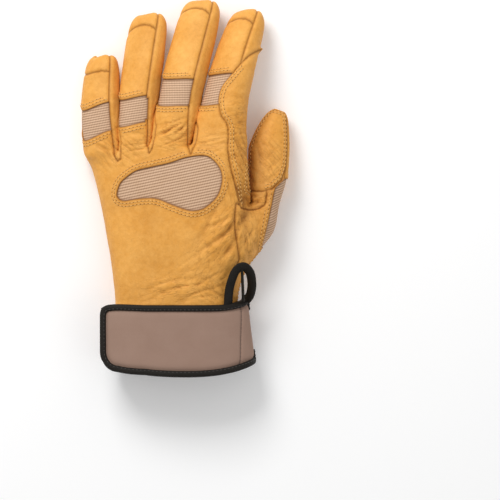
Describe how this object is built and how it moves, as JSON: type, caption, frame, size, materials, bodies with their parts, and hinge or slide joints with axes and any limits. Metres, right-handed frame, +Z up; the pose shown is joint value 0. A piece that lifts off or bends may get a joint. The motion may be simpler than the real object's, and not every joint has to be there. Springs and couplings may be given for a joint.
{
  "type": "climbing glove",
  "caption": "Full-finger leather belay glove with knit inserts, neoprene cuff, wrist strap, pull loop and karabiner eyelet.",
  "frame": {"origin": "on the surface that the glove lies on, under the middle of its bounding box", "axes": "+Y from the cuff to the fingertips, +X to the thumb's side, +Z up from the palm to the back of the hand"},
  "size_m": [0.1355, 0.2453, 0.044],
  "materials": {
    "leather": "soft golden grain leather",
    "knit": "ribbed stretch knit",
    "neoprene": "cloth-faced neoprene",
    "black_tape": "woven binding tape"
  },
  "bodies": {
    "root": {"back_panel": "leather", "cuff_band": "neoprene", "cuff_binding": "black_tape", "cuff_tab": "leather", "eyelet_rim": "leather", "hand_side": "leather", "heel_panel": "leather", "index_back": "leather", "index_crease": "leather", "index_end_side": "leather", "index_knit": "knit", "index_pad": "leather", "index_side": "leather", "index_tip": "leather", "knuckle_knit": "knit", "middle_back": "leather", "middle_crease": "leather", "middle_knit": "knit", "middle_pad": "leather", "middle_tip": "leather", "palm_patch": "leather", "pinky_back": "leather", "pinky_crease": "leather", "pinky_knit": "knit", "pinky_pad": "leather", "pinky_side": "leather", "pinky_tip": "leather", "pull_loop": "black_tape", "ring_back": "leather", "ring_crease": "leather", "ring_knit": "knit", "ring_pad": "leather", "ring_tip": "leather", "strap": "neoprene", "strap_binding": "black_tape", "thenar_knit": "knit", "thumb_base": "leather", "thumb_pad": "leather", "thumb_patch": "leather", "web_middle_index": "leather", "web_pinky_ring": "leather", "web_ring_middle": "leather"}
  },
  "joints": []
}
